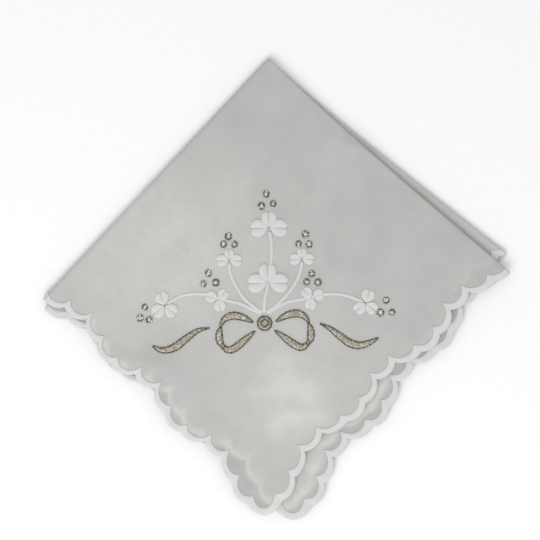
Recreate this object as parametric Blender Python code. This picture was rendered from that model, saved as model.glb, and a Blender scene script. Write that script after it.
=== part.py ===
"""A lady's lawn handkerchief with a scalloped edge, folded twice to a quarter and laid flat.

The sheet is one piece of cloth. It is drawn flat with its scalloped outline, given its thickness,
doubled about a first crease and then doubled again about a second one, so that four layers lie on
each other a little apart. Seen from above the folded corner points up, to +Y, and the scalloped
edges run along the two lower sides.
"""

import math

import bmesh
import bpy
import numpy as np
from mathutils import Vector
from mathutils.geometry import delaunay_2d_cdt

MM = 0.001

# The flat sheet. u runs across the first crease and v across the second, both creases at 0.
SHEET_U = (-143.0 * MM, 147.0 * MM)
SHEET_V = (-140.0 * MM, 138.0 * MM)
THICKNESS = 1.0 * MM

# The scalloped edge: round lobes between cusps, which ride on a longer wave.
LOBES_ON_U_SIDES = 25
LOBES_ON_V_SIDES = 24
WAVES_ON_A_SIDE = 6
FIRST_CUSP = 10.0 * MM
CUSP_INSET = 3.0 * MM
WAVE_HEIGHT = 3.3 * MM
LOBE_HEIGHT = 2.1 * MM
CORNER_FLARE = 2.5 * MM
CORNER_TIP_INSET = 0.3 * MM
STEPS_ON_A_LOBE = 6

# The two folds. The second goes round the first, so its radius is twice as large.
LAYER_PITCH = 1.4 * MM
FIRST_FOLD_RADIUS = LAYER_PITCH / 2
SECOND_FOLD_RADIUS = LAYER_PITCH
STEPS_ROUND_FIRST_FOLD = 6
STEPS_ROUND_SECOND_FOLD = 8

# Where the folded sheet lies: its top corner, then the other corners of each layer. The upper two
# layers share their right corner and the lower two theirs, and the outer two and the inner two
# share their left ones.
TOP_CORNER = Vector((-4.2, 102.3)) * MM
OUTER_LEFT = Vector((-103.0, -3.1)) * MM
INNER_LEFT = Vector((-103.4, -7.0)) * MM
UPPER_RIGHT = Vector((101.0, 8.6)) * MM
LOWER_RIGHT = Vector((99.7, 16.9)) * MM
LAYER_COLUMNS = ("u_side", "v_side", "left", "right", "bottom")
LAYERS = (
    (1, 1, OUTER_LEFT, UPPER_RIGHT, Vector((-5.9, -99.4)) * MM),
    (-1, 1, INNER_LEFT, UPPER_RIGHT, Vector((7.0, -101.4)) * MM),
    (-1, -1, INNER_LEFT, LOWER_RIGHT, Vector((4.0, -99.0)) * MM),
    (1, -1, OUTER_LEFT, LOWER_RIGHT, Vector((1.3, -98.1)) * MM),
)

# The first crease is not quite straight: it bows in towards the sheet, most at two fifths of its
# way from the top corner, and the bow fades across each layer.
FOLD_BOW = 1.4 * MM
FOLD_BOW_PEAK_POWER = 0.76
FOLD_BOW_FADE = 3

# The top layer's edge on the lower right is drawn in, most at two thirds of its way to the bottom.
# This bow fades quickly away from the edge, and the other layers lie straight there.
EDGE_BOW = 3.0 * MM
EDGE_BOW_PEAK_POWER = 1.8
EDGE_BOW_FADE = 4

# Soft swells of the top layer in millimetres, with their turn in degrees. The layers under it rise
# by less, and the bottom one lies flat.
SWELL_COLUMNS = ("x", "y", "half_length", "half_width", "turn", "height")
SWELLS = (
    (0.0, 14.0, 60.0, 34.0, 12.0, 0.9),
    (36.0, 62.0, 14.0, 4.5, -24.0, 0.8),
    (74.0, 24.0, 34.0, 9.0, -40.0, 1.0),
    (-52.0, -44.0, 36.0, 10.0, -42.0, 0.8),
    (48.0, -34.0, 34.0, 9.0, 46.0, 0.7),
    (-2.0, -84.0, 15.0, 11.0, 0.0, 1.0),
)

MESH_SPACING = 10.0 * MM
EDGE_CLEARANCE = 9.0 * MM
FOLD_CLEARANCE = 4.0 * MM
LINE_OVERRUN = 5.0 * MM
MERGE_DISTANCE = 0.00001

CLOTH_COLOUR = (0.56, 0.55, 0.54, 1.0)
CLOTH_ROUGHNESS = 0.85
SHARP_EDGE = math.radians(50)


def clear_scene():
    """Takes away whatever the scene holds."""
    for old in list(bpy.data.objects):
        bpy.data.objects.remove(old, do_unlink=True)


def side_cusps(start, end, outward, lobes):
    """The cusps along one side, from start to end, on the longer wave and flared out at both corners."""
    along = (end - start).normalized()
    spacing = ((end - start).length - 2 * FIRST_CUSP) / lobes
    cusps = []
    for k in range(lobes + 1):
        phase = 2 * math.pi * WAVES_ON_A_SIDE * (k - 0.5) / (lobes - 1)
        offset = WAVE_HEIGHT * math.cos(phase) - CUSP_INSET
        if k in (0, lobes):
            offset += CORNER_FLARE
        cusps.append(start + along * (FIRST_CUSP + k * spacing) + outward * offset)
    return cusps


def lobe(start, end):
    """The circular arc from one cusp to just before the next, standing out to the right."""
    chord = end - start
    width = chord.length
    radius = (width**2 / 4 + LOBE_HEIGHT**2) / (2 * LOBE_HEIGHT)
    half_angle = math.asin(width / 2 / radius)
    along = chord / width
    outward = Vector((along.y, -along.x))
    centre = (start + end) / 2 - outward * radius * math.cos(half_angle)
    points = []
    for i in range(STEPS_ON_A_LOBE):
        angle = half_angle * (2 * i / STEPS_ON_A_LOBE - 1)
        points.append(centre + (along * math.sin(angle) + outward * math.cos(angle)) * radius)
    return points


def corner_lobe(start, tip, end):
    """The larger lobe round a corner: a parabola from cusp to cusp through its tip."""
    handle = tip * 2 - (start + end) / 2
    steps = 2 * STEPS_ON_A_LOBE
    points = []
    for i in range(steps):
        t = i / steps
        points.append(start * (1 - t) ** 2 + handle * (2 * t * (1 - t)) + end * t**2)
    return points


def flat_outline():
    """The whole outline of the flat sheet, anticlockwise: four sides of lobes and four corner lobes."""
    u0, u1 = SHEET_U
    v0, v1 = SHEET_V
    corners = [Vector((u0, v0)), Vector((u1, v0)), Vector((u1, v1)), Vector((u0, v1))]
    outward = [Vector((0, -1)), Vector((1, 0)), Vector((0, 1)), Vector((-1, 0))]
    lobes = [LOBES_ON_U_SIDES, LOBES_ON_V_SIDES, LOBES_ON_U_SIDES, LOBES_ON_V_SIDES]
    sides = [side_cusps(corners[i], corners[(i + 1) % 4], outward[i], lobes[i]) for i in range(4)]
    points = []
    for i in range(4):
        after = (i + 1) % 4
        for start, end in zip(sides[i][:-1], sides[i][1:]):
            points += lobe(start, end)
        tip = corners[after] - (outward[i] + outward[after]) * CORNER_TIP_INSET
        points += corner_lobe(sides[i][-1], tip, sides[after][0])
    return points


def fold_places(radius, steps):
    """Places across a crease, closely spaced, that let the flat mesh bend smoothly there."""
    return np.linspace(-radius, radius, steps + 1) * math.pi / 2


def even_places(low, high):
    """Evenly spaced places on each side of a crease, clear of it and of the scalloped edge."""
    below = np.arange(-FOLD_CLEARANCE, low + EDGE_CLEARANCE, -MESH_SPACING)
    above = np.arange(FOLD_CLEARANCE, high - EDGE_CLEARANCE, MESH_SPACING)
    return np.concatenate([below, above])


def crease_lines(folds_u, folds_v):
    """Lines along both creases, run out past the edge, along which the flat mesh may bend."""
    u0, u1 = SHEET_U[0] - LINE_OVERRUN, SHEET_U[1] + LINE_OVERRUN
    v0, v1 = SHEET_V[0] - LINE_OVERRUN, SHEET_V[1] + LINE_OVERRUN
    lines = [(Vector((u, v0)), Vector((u, v1))) for u in folds_u]
    lines += [(Vector((u0, v)), Vector((u1, v))) for v in folds_v]
    return lines


def flat_mesh():
    """The flat sheet as a triangle mesh: its outline, the lines along the creases, and a grid."""
    outline = flat_outline()
    points = list(outline)
    edges = []
    folds_u = fold_places(FIRST_FOLD_RADIUS, STEPS_ROUND_FIRST_FOLD)
    folds_v = fold_places(SECOND_FOLD_RADIUS, STEPS_ROUND_SECOND_FOLD)
    for start, end in crease_lines(folds_u, folds_v):
        edges.append((len(points), len(points) + 1))
        points += [start, end]
    for u in np.concatenate([folds_u, even_places(*SHEET_U)]):
        for v in np.concatenate([folds_v, even_places(*SHEET_V)]):
            points.append(Vector((u, v)))
    places, _, faces, _, _, _ = delaunay_2d_cdt(
        points, edges, [list(range(len(outline)))], 1, MERGE_DISTANCE
    )
    sheet = bmesh.new()
    corners = [sheet.verts.new((p.x, p.y, 0.0)) for p in places]
    for face in faces:
        sheet.faces.new([corners[i] for i in face])
    loose = [v for v in sheet.verts if not v.link_faces]
    bmesh.ops.delete(sheet, geom=loose, context="VERTS")
    bmesh.ops.recalc_face_normals(sheet, faces=sheet.faces)
    if sum(f.normal.z for f in sheet.faces) < 0:
        bmesh.ops.reverse_faces(sheet, faces=sheet.faces)
    return sheet


def doubled(across, height, radius):
    """Doubles a slab about its line at 0. Gives the new distance from the fold, height and side."""
    angle = np.clip(across / radius, -math.pi / 2, math.pi / 2)
    straight = np.maximum(np.abs(across) - radius * math.pi / 2, 0.0)
    reach = (radius + height) * np.cos(angle)
    return straight - reach, (radius + height) * np.sin(angle), np.sin(angle)


def swell(x, y):
    """How far the top layer stands up at a place, from the table of soft swells."""
    height = np.zeros(len(x))
    for row in SWELLS:
        s = dict(zip(SWELL_COLUMNS, row))
        turn = math.radians(s["turn"])
        dx = x - s["x"] * MM
        dy = y - s["y"] * MM
        along = (dx * math.cos(turn) + dy * math.sin(turn)) / (s["half_length"] * MM)
        across = (dy * math.cos(turn) - dx * math.sin(turn)) / (s["half_width"] * MM)
        height += s["height"] * MM * np.exp(-(along**2 + across**2) / 2)
    return height


def folded(points):
    """Every point of the flat slab in its place in the folded sheet.

    Each layer is a four-cornered field between the top corner and its own three others, and the
    layers pass into each other round the folds. Then the two bows are added.
    """
    u, v, w = points.T
    half = THICKNESS / 2
    x, height, u_side = doubled(u, w, FIRST_FOLD_RADIUS)
    x = x + FIRST_FOLD_RADIUS + half
    y, height, v_side = doubled(v, height, SECOND_FOLD_RADIUS)
    y = y + SECOND_FOLD_RADIUS + FIRST_FOLD_RADIUS + half
    a = x / np.where(u_side > 0, SHEET_U[1], -SHEET_U[0])
    b = y / np.where(v_side > 0, SHEET_V[1], -SHEET_V[0])
    place = np.zeros((len(u), 2))
    for row in LAYERS:
        layer = dict(zip(LAYER_COLUMNS, row))
        share = (1 + layer["u_side"] * u_side) * (1 + layer["v_side"] * v_side) / 4
        top = np.outer((1 - a) * (1 - b), TOP_CORNER)
        left = np.outer(a * (1 - b), layer["left"])
        right = np.outer((1 - a) * b, layer["right"])
        bottom = np.outer(a * b, layer["bottom"])
        place += share[:, None] * (top + left + right + bottom)
    crease = (UPPER_RIGHT - TOP_CORNER).normalized()
    inward = Vector((crease.y, -crease.x))
    bow = FOLD_BOW * np.sin(math.pi * np.clip(b, 0, 1) ** FOLD_BOW_PEAK_POWER)
    bow *= np.clip(1 - a, 0, 1) ** FOLD_BOW_FADE
    place += np.outer(bow, inward)
    top_layer = dict(zip(LAYER_COLUMNS, LAYERS[0]))
    lower_right = (top_layer["bottom"] - top_layer["right"]).normalized()
    inward = Vector((lower_right.y, -lower_right.x))
    bow = EDGE_BOW * (1 + u_side) * (1 + v_side) / 4
    bow *= np.sin(math.pi * np.clip(a, 0, 1) ** EDGE_BOW_PEAK_POWER)
    bow *= np.clip(b, 0, 1) ** EDGE_BOW_FADE
    place += np.outer(bow, inward)
    # From the top layer down, this share of the swell is 1, 2/3, 1/3 and 0.
    share_of_swell = 1 / 2 + v_side / 3 + u_side * v_side / 6
    height = height + share_of_swell * swell(place[:, 0], place[:, 1])
    return np.column_stack([place, height])


def centred(points):
    """Moves the sheet so that its box stands centred on the origin."""
    low = points.min(axis=0)
    high = points.max(axis=0)
    middle = (low + high) / 2
    return points - np.array([middle[0], middle[1], low[2]])


def cloth_material():
    """White cotton lawn, which looks pale grey where it lies over itself."""
    material = bpy.data.materials.new("cotton_lawn")
    material.use_nodes = True
    shader = material.node_tree.nodes["Principled BSDF"]
    shader.inputs["Base Color"].default_value = CLOTH_COLOUR
    shader.inputs["Roughness"].default_value = CLOTH_ROUGHNESS
    shader.inputs["Metallic"].default_value = 0.0
    return material


def handkerchief(collection):
    """The whole sheet, from its flat outline to its folded form, as one closed solid."""
    sheet = flat_mesh()
    bmesh.ops.solidify(sheet, geom=sheet.faces[:], thickness=THICKNESS)
    points = np.array([v.co[:] for v in sheet.verts])
    points[:, 2] -= (points[:, 2].min() + points[:, 2].max()) / 2
    for vert, place in zip(sheet.verts, centred(folded(points))):
        vert.co = place
    bmesh.ops.triangulate(sheet, faces=sheet.faces)
    bmesh.ops.recalc_face_normals(sheet, faces=sheet.faces)
    mesh = bpy.data.meshes.new("handkerchief")
    sheet.to_mesh(mesh)
    sheet.free()
    mesh.shade_smooth()
    mesh.set_sharp_from_angle(angle=SHARP_EDGE)
    mesh.materials.append(cloth_material())
    cloth = bpy.data.objects.new("handkerchief", mesh)
    collection.objects.link(cloth)
    return cloth


clear_scene()
parts = bpy.data.collections.new("folded_handkerchief")
bpy.context.scene.collection.children.link(parts)
handkerchief(parts)
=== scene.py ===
"""The looks of a lady's handkerchief of white cotton lawn, folded to a quarter and lying flat.

Thin cloth replaces the solid of the sheet on the same four layers, with its stitched scalloped
edge, and the embroidery of the upper quarter: clover leaves on stems, dots and a ribbon bow.
"""

import math

import bmesh
import bpy
import numpy as np
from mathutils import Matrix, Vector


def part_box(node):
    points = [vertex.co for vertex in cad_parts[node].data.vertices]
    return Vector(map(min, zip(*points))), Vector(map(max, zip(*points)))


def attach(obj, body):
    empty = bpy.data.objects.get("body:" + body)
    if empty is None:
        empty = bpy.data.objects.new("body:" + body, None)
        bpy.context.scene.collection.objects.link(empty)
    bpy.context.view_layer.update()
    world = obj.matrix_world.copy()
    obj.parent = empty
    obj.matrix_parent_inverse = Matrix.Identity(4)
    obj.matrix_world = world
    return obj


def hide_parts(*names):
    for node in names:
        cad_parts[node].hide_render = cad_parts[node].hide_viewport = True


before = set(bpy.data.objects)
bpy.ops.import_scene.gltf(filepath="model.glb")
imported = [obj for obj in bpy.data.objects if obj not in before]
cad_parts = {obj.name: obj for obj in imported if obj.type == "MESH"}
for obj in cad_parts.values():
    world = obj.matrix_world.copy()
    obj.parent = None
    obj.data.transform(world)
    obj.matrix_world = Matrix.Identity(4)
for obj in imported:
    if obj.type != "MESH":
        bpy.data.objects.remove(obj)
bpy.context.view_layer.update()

MM = 0.001


# The scalloped outline
# The sheet was cut along the outer side of its stitching: 25 and 24 round lobes on the sides, which
# ride on a slow wave, and a larger lobe round each corner. u runs across the first crease, v across
# the second, and both creases are at 0.
SHEET_U = (-143.0 * MM, 147.0 * MM)
SHEET_V = (-140.0 * MM, 138.0 * MM)
LOBES_ON_SIDES = (25, 24, 25, 24)
WAVES_ON_A_SIDE = 6
FIRST_CUSP = 10.0 * MM
CUSP_INSET = 3.0 * MM
WAVE_HEIGHT = 3.3 * MM
LOBE_HEIGHT = 2.1 * MM
CORNER_FLARE = 2.5 * MM
CORNER_TIP_INSET = 0.3 * MM
STEPS_ON_A_LOBE = 22


def side_of_edge(start, end, outward, lobes):
    """One side of the outline: its points, each one's place on its lobe from -1 to 1, and the cusps.

    The cusps stand at even spacing on a line, moved out and in by a cosine wave. A lobe is the arc
    through two cusps that stands h proud of their chord c, with the radius (c * c / 4 + h * h) / 2h.
    """
    length = np.linalg.norm(end - start)
    along = (end - start) / length
    k = np.arange(lobes + 1)
    offset = WAVE_HEIGHT * np.cos(2 * np.pi * WAVES_ON_A_SIDE * (k - 0.5) / (lobes - 1)) - CUSP_INSET
    offset[[0, -1]] += CORNER_FLARE
    reach = np.linspace(FIRST_CUSP, length - FIRST_CUSP, lobes + 1)
    cusps = start + np.outer(reach, along) + np.outer(offset, outward)
    chord = np.diff(cusps, axis=0)[:, None, :]
    width = np.linalg.norm(chord, axis=2)
    radius = (width**2 / 4 + LOBE_HEIGHT**2) / (2 * LOBE_HEIGHT)
    half_angle = np.arcsin(width / 2 / radius)
    t = np.linspace(-1, 1, STEPS_ON_A_LOBE, endpoint=False)
    forward = chord / width[..., None]
    out = forward[..., ::-1] * (1, -1)
    run = radius * np.sin(half_angle * t)
    rise = radius * (np.cos(half_angle * t) - np.cos(half_angle))
    middle = (cusps[1:] + cusps[:-1])[:, None, :] / 2
    points = middle + run[..., None] * forward + rise[..., None] * out
    return points.reshape(-1, 2), np.tile(t, lobes), cusps


def corner_of_edge(start, tip, end):
    """The lobe round a corner: the parabola from cusp to cusp whose middle point is the tip."""
    handle = 2 * tip - (start + end) / 2
    t = np.linspace(0, 1, 2 * STEPS_ON_A_LOBE, endpoint=False)[:, None]
    points = start * (1 - t) ** 2 + handle * 2 * t * (1 - t) + end * t**2
    return points, 2 * t[:, 0] - 1


def scalloped_edge():
    """The outline, anticlockwise: points, the direction straight out there, places on the lobes.

    Along a side the direction is the side's own, and round a corner it turns evenly to the next.
    """
    (u0, u1), (v0, v1) = SHEET_U, SHEET_V
    corners = np.array([(u0, v0), (u1, v0), (u1, v1), (u0, v1)])
    outward = np.array([(0.0, -1.0), (1.0, 0.0), (0.0, 1.0), (-1.0, 0.0)])
    sides = [side_of_edge(corners[i], corners[(i + 1) % 4], outward[i], LOBES_ON_SIDES[i])
             for i in range(4)]
    points, directions, places = [], [], []
    for i in range(4):
        after = (i + 1) % 4
        tip = corners[after] - (outward[i] + outward[after]) * CORNER_TIP_INSET
        round_corner, t = corner_of_edge(sides[i][2][-1], tip, sides[after][2][0])
        turn = (t + 1) * np.pi / 4
        points += [sides[i][0], round_corner]
        places += [sides[i][1], t]
        directions.append(np.tile(outward[i], (len(sides[i][0]), 1)))
        directions.append(np.outer(np.cos(turn), outward[i]) + np.outer(np.sin(turn), outward[after]))
    return np.concatenate(points), np.concatenate(directions), np.concatenate(places)


# The two creases
# The sheet was doubled about a first crease and again about a second, and pressed. Each layer is a
# four-cornered field that hangs from the folded corner at the top, and none lies quite on the next.
# The places are those of the solid, which is 1 mm thick so that its outer faces bound the layers.
SOLID_THICKNESS = 1.0 * MM
FIRST_FOLD_RADIUS = 0.7 * MM
SECOND_FOLD_RADIUS = 1.4 * MM
TOP_CORNER = np.array((-4.2, 102.3)) * MM
OUTER_LEFT = np.array((-103.0, -3.1)) * MM
INNER_LEFT = np.array((-103.4, -7.0)) * MM
UPPER_RIGHT = np.array((101.0, 8.6)) * MM
LOWER_RIGHT = np.array((99.7, 16.9)) * MM
# Columns: side of u, side of v, left, right and bottom corner, from the top layer down.
LAYERS = (
    (1, 1, OUTER_LEFT, UPPER_RIGHT, np.array((-5.9, -99.4)) * MM),
    (-1, 1, INNER_LEFT, UPPER_RIGHT, np.array((7.0, -101.4)) * MM),
    (-1, -1, INNER_LEFT, LOWER_RIGHT, np.array((4.0, -99.0)) * MM),
    (1, -1, OUTER_LEFT, LOWER_RIGHT, np.array((1.3, -98.1)) * MM),
)
FOLD_BOW = 1.4 * MM
FOLD_BOW_PEAK_POWER = 0.76
FOLD_BOW_FADE = 3
EDGE_BOW = 3.0 * MM
EDGE_BOW_PEAK_POWER = 1.8
EDGE_BOW_FADE = 4
UPPER_PAIR_DROP = 0.35 * MM
CREASE_DROP = 0.65 * MM
CREASE_DROP_REACH = 14.0 * MM
CREASE_DROP_FADE = 6
# Soft swells of the top layer, then its smaller creases, placed where the light shows them.
# Columns: x, y, half length, half width, turn in degrees, height. Lengths are in millimetres.
SWELLS_AND_CREASES = (
    (0.0, 14.0, 60.0, 34.0, 12.0, 0.9),
    (36.0, 62.0, 14.0, 4.5, -24.0, 0.8),
    (74.0, 24.0, 34.0, 9.0, -40.0, 1.0),
    (-52.0, -44.0, 36.0, 10.0, -42.0, 0.8),
    (48.0, -34.0, 34.0, 9.0, 46.0, 0.7),
    (-2.0, -84.0, 15.0, 11.0, 0.0, 1.0),
    (33.0, 62.8, 9.0, 1.4, -22.0, 0.50),
    (37.0, 66.4, 9.0, 2.0, -25.0, -0.40),
    (-17.0, 78.0, 10.0, 3.0, -48.0, -0.30),
    (-61.0, -32.0, 9.0, 2.4, -12.0, 0.80),
    (-30.0, -58.0, 16.0, 3.2, -38.0, 0.35),
    (66.0, 40.0, 20.0, 2.4, -52.0, 0.22),
    (-58.0, 22.0, 26.0, 6.0, 47.0, 0.30),
    (60.0, -12.0, 22.0, 3.0, 30.0, 0.25),
    (22.0, -62.0, 15.0, 2.6, 52.0, 0.28),
    (-16.0, -74.0, 10.0, 2.4, 66.0, 0.30),
    (12.0, 80.0, 14.0, 2.6, -60.0, 0.20),
)
PUCKER_HEIGHT = 0.14 * MM
PUCKER_REACH = 7.0 * MM
PUCKER_LENGTHS = (9.3 * MM, 8.1 * MM)
PUCKER_DRIFTS = (11.0 * MM, 13.0 * MM)


def doubled(across, height, radius):
    """Doubles a slab about its line at 0: the new distance from the fold, the height and the side.

    Within the bend the slab turns through a half circle of that radius, and past it the slab runs
    straight: the angle is the distance over the radius, held between minus and plus 90 degrees.
    """
    angle = np.clip(across / radius, -np.pi / 2, np.pi / 2)
    straight = np.maximum(np.abs(across) - radius * np.pi / 2, 0)
    reach = (radius + height) * np.cos(angle)
    return straight - reach, (radius + height) * np.sin(angle), np.sin(angle)


def relief(x, y):
    """How far the top layer stands up at a place: the sum of bell-shaped ridges from the table."""
    height = np.zeros_like(x)
    for mid_x, mid_y, half_length, half_width, turn, rise in SWELLS_AND_CREASES:
        c, s = math.cos(math.radians(turn)), math.sin(math.radians(turn))
        dx, dy = x / MM - mid_x, y / MM - mid_y
        along = (dx * c + dy * s) / half_length
        across = (dy * c - dx * s) / half_width
        height += rise * MM * np.exp(-(along**2 + across**2) / 2)
    return height


def pucker(u, v, lowest):
    """Small ripples that the stitching draws into the cloth, which fade away from the edge.

    Two sine waves are added. On the lowest layer they are halved and raised to stay off the table.
    """
    inside = np.minimum(np.minimum(SHEET_U[1] - u, u - SHEET_U[0]),
                        np.minimum(SHEET_V[1] - v, v - SHEET_V[0]))
    first = np.sin(2 * np.pi * u / PUCKER_LENGTHS[0] + np.sin(u / PUCKER_DRIFTS[0]))
    second = np.sin(2 * np.pi * v / PUCKER_LENGTHS[1] + np.sin(v / PUCKER_DRIFTS[1]))
    waves = np.where(lowest, 1 + (first + second) / 2, first + second)
    return PUCKER_HEIGHT * np.exp(-np.maximum(inside, 0) / PUCKER_REACH) * waves


def folded(u, v, n):
    """Points of the flat sheet, n above its middle, in their places in the folded sheet.

    A place is the bilinear mean of the four corners of each layer, a and b being the shares of the
    way from the folded corner to the other two, and the layers pass into each other round the
    folds. Then the first crease and the top layer's lower right edge are bowed inwards. Heights are
    those of the fold, plus each layer's share of the relief: all of it on the top layer, then two
    thirds, a third and none. The cloth is thinner than the solid, so the two upper layers may lie
    lower within it and nearer to the two lower ones, most along the first crease, where the fold
    was pressed, and less where the stitching is thick.
    """
    x, height, u_side = doubled(u, n, FIRST_FOLD_RADIUS)
    x = x + FIRST_FOLD_RADIUS + SOLID_THICKNESS / 2
    y, height, v_side = doubled(v, height, SECOND_FOLD_RADIUS)
    y = y + SECOND_FOLD_RADIUS + FIRST_FOLD_RADIUS + SOLID_THICKNESS / 2
    a = (x / np.where(u_side > 0, SHEET_U[1], -SHEET_U[0]))[..., None]
    b = (y / np.where(v_side > 0, SHEET_V[1], -SHEET_V[0]))[..., None]
    place = np.zeros(u.shape + (2,))
    for side_u, side_v, left, right, bottom in LAYERS:
        share = (1 + side_u * u_side) * (1 + side_v * v_side) / 4
        near_side = (1 - a) * (1 - b) * TOP_CORNER + a * (1 - b) * left
        place += share[..., None] * (near_side + (1 - a) * b * right + a * b * bottom)
    crease = (UPPER_RIGHT - TOP_CORNER) / np.linalg.norm(UPPER_RIGHT - TOP_CORNER)
    inward = np.array((crease[1], -crease[0]))
    bow = FOLD_BOW * np.sin(np.pi * np.clip(b, 0, 1) ** FOLD_BOW_PEAK_POWER)
    place += bow * np.clip(1 - a, 0, 1) ** FOLD_BOW_FADE * inward
    lower_right = (LAYERS[0][4] - UPPER_RIGHT) / np.linalg.norm(LAYERS[0][4] - UPPER_RIGHT)
    inward = np.array((lower_right[1], -lower_right[0]))
    bow = EDGE_BOW * np.sin(np.pi * np.clip(a, 0, 1) ** EDGE_BOW_PEAK_POWER)
    bow = bow * np.clip(b, 0, 1) ** EDGE_BOW_FADE
    place += bow * ((1 + u_side) * (1 + v_side) / 4)[..., None] * inward
    share_of_relief = 1 / 2 + v_side / 3 + u_side * v_side / 6
    height = height + share_of_relief * relief(place[..., 0], place[..., 1])
    pressed = np.exp(-((u / CREASE_DROP_REACH) ** 2)) * (1 - np.clip(b[..., 0], 0, 1) ** CREASE_DROP_FADE)
    height = height - (UPPER_PAIR_DROP + CREASE_DROP * pressed) * (1 + v_side) / 2
    height = height + pucker(u, v, (u_side > 0) & (v_side < 0)) * np.abs(u_side * v_side)
    return np.concatenate([place, height[..., None]], axis=-1)


def solid_middle(edge):
    """The middle of the solid's box seen from above, found from its outline and its two creases."""
    points_on_a_crease = 600
    u = np.linspace(*SHEET_U, points_on_a_crease)
    v = np.linspace(*SHEET_V, points_on_a_crease)
    flat_u = np.concatenate([edge[:, 0], u, np.zeros_like(v)])
    flat_v = np.concatenate([edge[:, 1], np.zeros_like(u), v])
    faces = (-SOLID_THICKNESS / 2, SOLID_THICKNESS / 2)
    places = np.concatenate([folded(flat_u, flat_v, np.full_like(flat_u, n)) for n in faces])[:, :2]
    return (places.min(axis=0) + places.max(axis=0)) / 2


edge_points, edge_out, edge_places = scalloped_edge()
# The top layer lies this far over the middle of the fold, and the lowest one as far under it.
TOP_LAYER = FIRST_FOLD_RADIUS + SECOND_FOLD_RADIUS
node_low, node_high = (np.array(corner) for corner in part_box("handkerchief"))
middle = solid_middle(edge_points)
# The way from the fold's own middle to its place in the frame.
SETTLE = np.array([
    (node_low[0] + node_high[0]) / 2 - middle[0],
    (node_low[1] + node_high[1]) / 2 - middle[1],
    node_low[2] + TOP_LAYER + SOLID_THICKNESS / 2,
])


# The cloth between the stitched edges
# One sheet of cotton lawn, a plain weave of fine thread, 0.3 mm thick with its nap. It is sheer: what
# lies under it shows through, the stitched edge of the next layer as paler, and nothing as darker.
CLOTH_THICKNESS = 0.3 * MM
GRID_PITCH = 1.15 * MM
HIDDEN_GRID_PITCH = 2.3 * MM
LINES_IN_A_BEND = 11
EDGE_FADE = 14.0 * MM
STITCHED_WIDTHS = (3.0 * MM, 3.6 * MM)
SPUR_AT_CUSPS = 1.9 * MM
CUSP_POWER = 3


def stitched_width():
    """Width of the stitching all along the edge, even along a lobe, with a spur inwards at the cusps.

    It is worked a little wider on the two sides that lie across v than on those across u.
    """
    across_u, across_v = STITCHED_WIDTHS
    even = across_u * edge_out[:, 0] ** 2 + across_v * edge_out[:, 1] ** 2
    return even + SPUR_AT_CUSPS * np.abs(edge_places) ** CUSP_POWER


def edge_lookup(share):
    """Four lookups for a line that lies a share of the stitched width inside the outline.

    Each takes distances along a side and gives how far the line lies from the sheet's middle there.
    A point belongs to a side if its outward direction turns away from that side's by 46 degrees at
    most, so that two sides share the middle of a corner.
    """
    widest_turn = math.radians(46)
    line = edge_points - edge_out * (stitched_width() * share)[:, None]
    lookups = {}
    for name, axis, sign in (("bottom", 1, -1), ("right", 0, 1), ("top", 1, 1), ("left", 0, -1)):
        near = edge_out[:, axis] * sign > math.cos(widest_turn)
        along, across = line[near, 1 - axis], line[near, axis]
        order = np.argsort(along)
        lookups[name] = (along[order], across[order])
    return lookups


def grid_lines(low, high, fold_radius):
    """Grid lines across the sheet: evenly spaced, wider on the hidden side, and close in the bend."""
    bend = fold_radius * np.pi / 2
    below = np.linspace(low, -bend, int((-bend - low) / HIDDEN_GRID_PITCH) + 1)
    above = np.linspace(bend, high, int((high - bend) / GRID_PITCH) + 1)
    return np.concatenate([below[:-1], np.linspace(-bend, bend, LINES_IN_A_BEND), above[1:]])


def drawn_to_edge(u, v):
    """Moves a rectangular grid's rim to the middle of the stitching, and its neighbours less and less.

    The move fades with the square of the distance from the rim. Repeats settle the corners.
    """
    repeats = 5
    lookups = edge_lookup(0.5)
    (u0, u1), (v0, v1) = SHEET_U, SHEET_V

    def fade(distance):
        return np.clip(1 - distance / EDGE_FADE, 0, 1) ** 2

    new_u, new_v = u, v
    for _ in range(repeats):
        right = np.interp(new_v, *lookups["right"]) - u1
        left = np.interp(new_v, *lookups["left"]) - u0
        new_u = u + right * fade(u1 - u) + left * fade(u - u0)
        top = np.interp(new_u, *lookups["top"]) - v1
        bottom = np.interp(new_u, *lookups["bottom"]) - v0
        new_v = v + top * fade(v1 - v) + bottom * fade(v - v0)
    return new_u, new_v


# What shows through the cloth. Soft pale patches are white embroidery on a layer below, and the
# two broad ones, in the first two rows, are painted light: paler zones where more light falls, at
# the left and below the middle.
# Columns: x, y, half width, half height, strength. Lengths are in millimetres.
PALE_PATCHES = (
    (-54.0, 18.0, 50.0, 38.0, 1.1),
    (2.0, -46.0, 34.0, 36.0, 0.75),
    (0.4, -34.8, 9.0, 6.2, 0.5),
    (5.0, -42.6, 6.6, 4.8, 0.8),
    (12.0, -45.5, 5.4, 5.6, 0.85),
    (-0.2, -45.8, 4.6, 4.8, 0.65),
    (-8.5, -45.0, 5.6, 4.2, 0.5),
    (-1.4, -61.0, 4.2, 5.0, 0.8),
    (4.6, -56.5, 5.4, 4.6, 0.8),
    (14.1, -56.0, 6.8, 5.4, 1.1),
    (20.2, -57.5, 3.8, 3.6, 0.6),
)
BACKING_SHARES = (0.62, 0.24, 0.14)
EDGE_BELOW_GAIN = (0.32, 0.24, 0.16)
PATCH_GAIN = 0.22
PATCH_POWER = 1.3
# Lower layers are painted paler: painted light for the board's light coming through them, which lifts the
# shade that the layers above cast on them.
LOWER_LAYER_PAINTED_LIGHT = 0.18
SOFT_STEP = 2.2 * MM


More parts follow.
